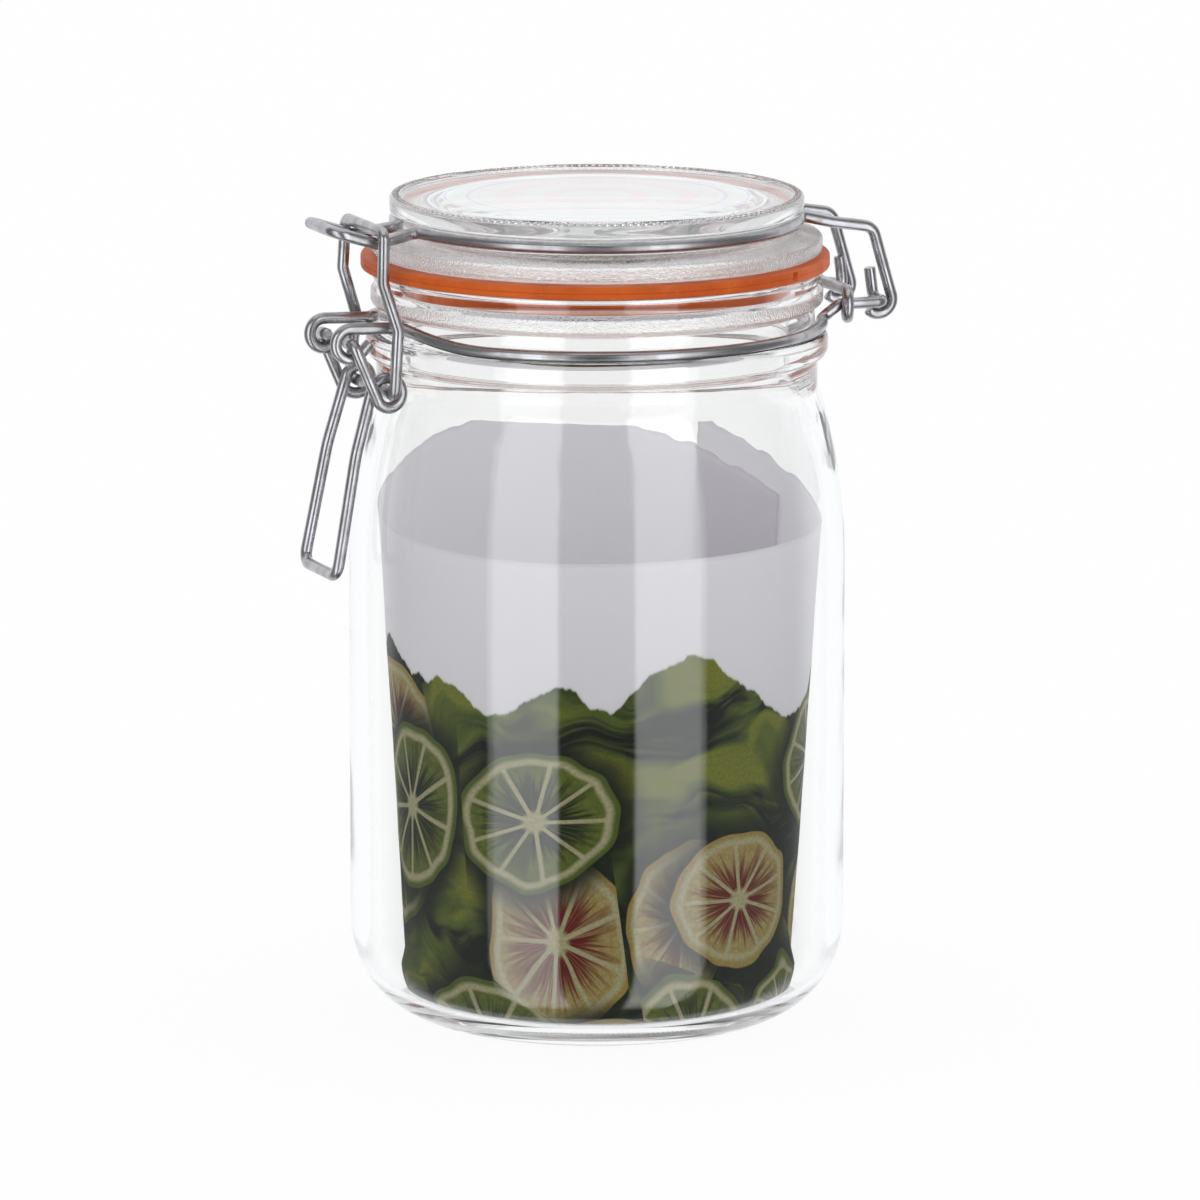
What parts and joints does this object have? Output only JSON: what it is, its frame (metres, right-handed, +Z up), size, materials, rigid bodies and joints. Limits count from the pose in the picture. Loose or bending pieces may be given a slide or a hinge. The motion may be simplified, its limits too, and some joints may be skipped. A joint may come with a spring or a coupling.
{
  "type": "clip-top jar",
  "caption": "Clip-top glass preserving jar with a hinged glass lid, rubber seal, wire hinge, lever clip and a rolled paper insert.",
  "frame": {"origin": "middle of the bounding box on the surface that the jar stands on, which is within 0.2 mm of the jar's own axis", "axes": "+Z up along the jar's axis, the lid hinges at +X and the clip closes at -X, and the clip is alike on both sides of Y = 0"},
  "size_m": [0.1336, 0.11, 0.1842],
  "materials": {
    "clear_glass": "polished",
    "lid_glass": "polished",
    "orange_rubber": "satin",
    "steel_wire": "satin",
    "white_paper": "matte"
  },
  "bodies": {
    "jar": {"jar_glass": "clear_glass", "neck_wire_back": "steel_wire", "neck_wire_front": "steel_wire", "hinge_tie": "steel_wire", "paper_insert": "white_paper"},
    "lid": {"lid_glass": "lid_glass", "rubber_seal": "orange_rubber", "lid_wire": "steel_wire"},
    "lever": {"lever": "steel_wire"},
    "bail": {"bail": "steel_wire"}
  },
  "joints": [
    {"name": "lid_hinge", "type": "hinge", "parent": "jar", "child": "lid", "pos_m": [0.0626, 0, 0.1586], "axis": [0, 1, 0], "range_deg": [0, 110]},
    {"name": "lever_pivot", "type": "hinge", "parent": "jar", "child": "lever", "pos_m": [-0.0611, 0, 0.1553], "axis": [0, 1, 0], "range_deg": [0, 140]},
    {"name": "bail_pivot", "type": "hinge", "parent": "lever", "child": "bail", "pos_m": [-0.0529, 0, 0.1443], "axis": [0, 1, 0], "range_deg": [-220, 0], "deforming": ["bail"]}
  ],
  "couplings": [
    {"joint": "bail_pivot", "follows": "lever_pivot", "ratio": -1.56}
  ]
}
